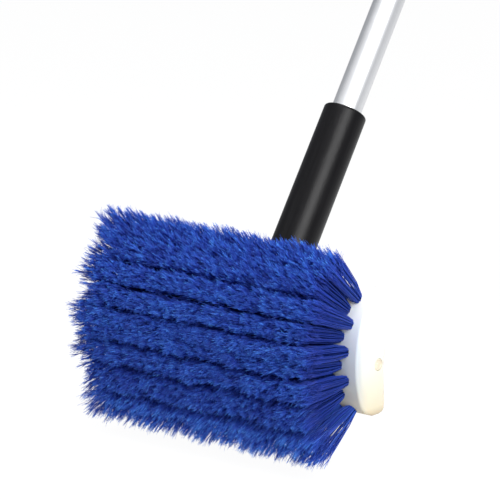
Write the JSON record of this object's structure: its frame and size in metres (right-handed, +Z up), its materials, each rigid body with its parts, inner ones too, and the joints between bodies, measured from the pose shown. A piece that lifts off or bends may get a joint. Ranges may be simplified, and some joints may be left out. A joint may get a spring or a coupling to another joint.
{
  "type": "pool wall brush",
  "caption": "Pool wall brush: a wide plastic block with fanned rows of soft bristles on a sleeved aluminium pole that screws into an angled socket.",
  "frame": {"origin": "on the axis of the pole, halfway along the hand grip, where a hand holds the brush", "axes": "+X along the block, -Y the way the bristles point, +Z up the block; the pole leaves in the plane X = 0, leaning 33 degrees from +Z towards +Y"},
  "size_m": [0.254, 0.6521, 0.9304],
  "materials": {
    "block": "satin",
    "plug": "satin",
    "washer": "matt",
    "tip": "satin",
    "sleeve": "satin",
    "pole": "bright anodised",
    "pin": "plain",
    "grip": "matt",
    "cap": "satin",
    "bristles": "satin filaments"
  },
  "bodies": {
    "handle": {"threaded_tip": "tip", "tip_cross_pin": "pin", "handle_sleeve": "sleeve", "pole_tube": "pole", "hand_grip": "grip", "end_cap": "cap", "cap_rivet": "pin"},
    "washer": {"thrust_washer": "washer"},
    "head": {"brush_block": "block", "end_plug_left": "plug", "end_plug_right": "plug", "bristle_row_1": "bristles", "bristle_row_2": "bristles", "bristle_row_3": "bristles", "bristle_row_4": "bristles", "bristle_row_5": "bristles", "bristle_row_6": "bristles", "bristle_row_7": "bristles", "bristle_row_8": "bristles", "bristle_row_9": "bristles"}
  },
  "joints": [
    {"name": "thread_travel", "type": "slide", "parent": "handle", "child": "washer", "axis": [0, -0.5446, -0.8387], "range_m": [0, 0.03048]},
    {"name": "head_turn", "type": "hinge", "parent": "washer", "child": "head", "pos_m": [0, -0.50363, -0.77552], "axis": [0, -0.5446, -0.8387], "range_deg": [0, 2162]}
  ],
  "couplings": [
    {"joint": "head_turn", "follows": "thread_travel", "rad_per_m": 1236.8}
  ]
}
